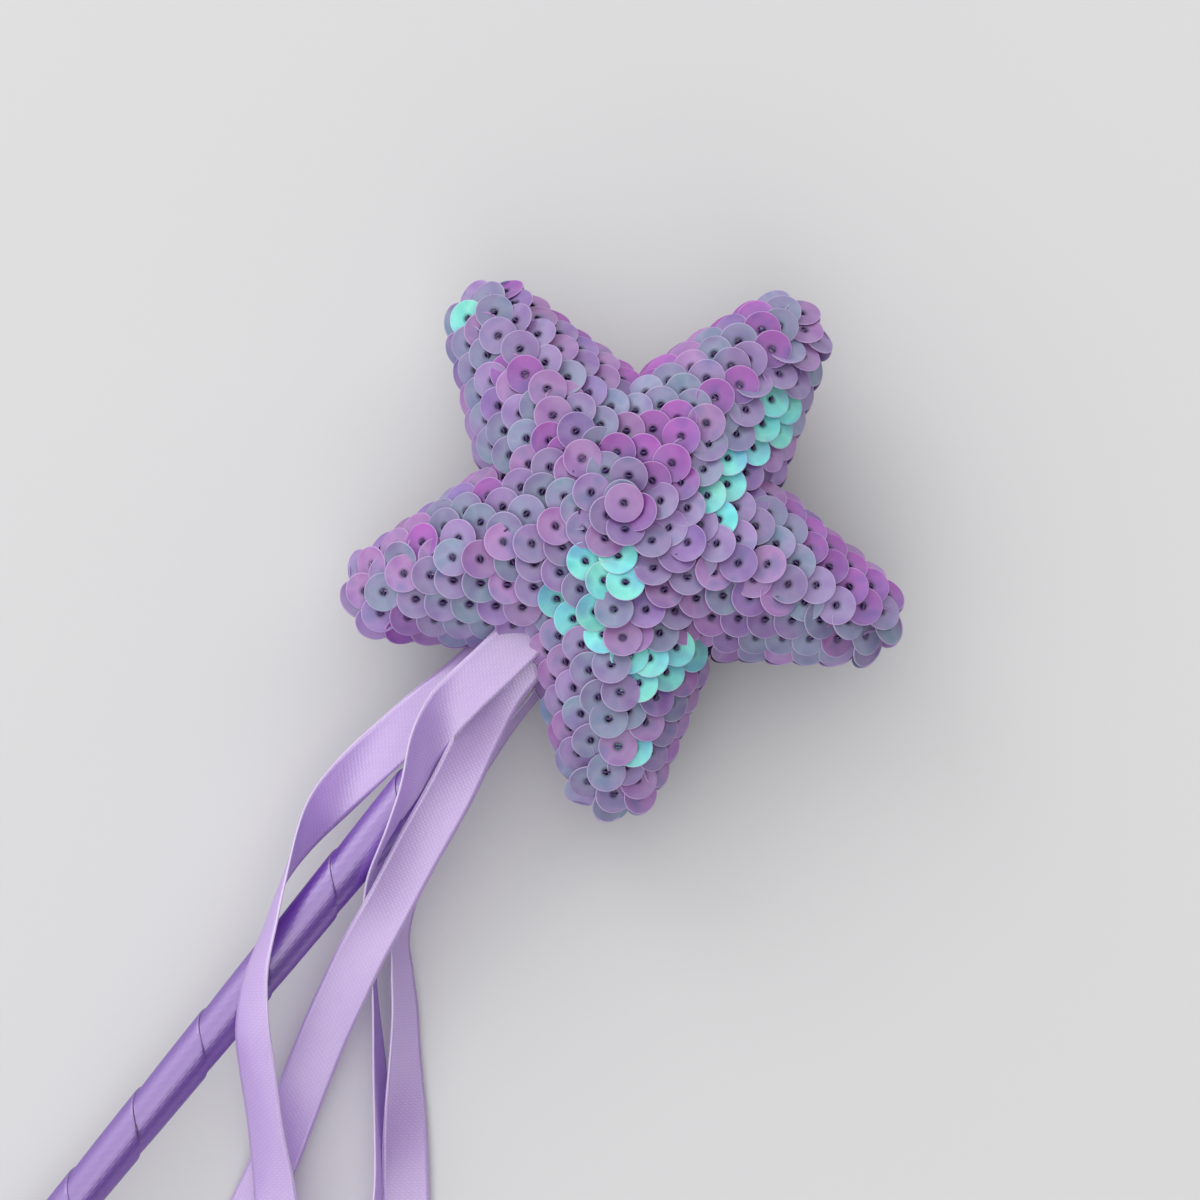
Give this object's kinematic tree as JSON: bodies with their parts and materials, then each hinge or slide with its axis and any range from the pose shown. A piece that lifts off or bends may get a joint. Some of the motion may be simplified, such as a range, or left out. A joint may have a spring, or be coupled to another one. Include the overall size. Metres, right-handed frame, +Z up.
{
  "type": "toy magic wand",
  "caption": "Toy magic wand: a stuffed star covered in iridescent sequins on a ribbon-wound stick, with loose satin streamers at the star's base.",
  "frame": {"origin": "on the surface that the wand lies on, below the middle of the wand without its streamers", "axes": "+Y along the stick towards the star, +Z up from the surface, +X across the star"},
  "size_m": [0.1041, 0.3311, 0.0329],
  "materials": {
    "dowel": "matte",
    "wrap": "satin",
    "ribbon": "satin",
    "cloth": "matte",
    "stuffing": "matte",
    "thread": "matte",
    "glue": "satin",
    "sequin": "gloss"
  },
  "bodies": {
    "root": {"stick": "dowel", "stick_wrap": "wrap", "wrap_end_turn": "wrap", "glue_plug": "glue", "star_front_cover": "cloth", "star_back_cover": "cloth", "star_stuffing": "stuffing", "seam_stitches": "thread", "front_sequin_row_1": "sequin", "front_sequin_row_2": "sequin", "front_sequin_row_3": "sequin", "front_sequin_row_4": "sequin", "front_sequin_row_5": "sequin", "front_sequin_row_6": "sequin", "front_sequin_row_7": "sequin", "front_sequin_ridges": "sequin", "front_sequin_crown": "sequin", "back_sequin_row_1": "sequin", "back_sequin_row_2": "sequin", "back_sequin_row_3": "sequin", "back_sequin_row_4": "sequin", "back_sequin_row_5": "sequin", "back_sequin_row_6": "sequin", "back_sequin_row_7": "sequin", "back_sequin_ridges": "sequin", "back_sequin_crown": "sequin", "streamer_a": "ribbon", "streamer_b": "ribbon", "streamer_c": "ribbon", "streamer_d": "ribbon"}
  },
  "joints": []
}
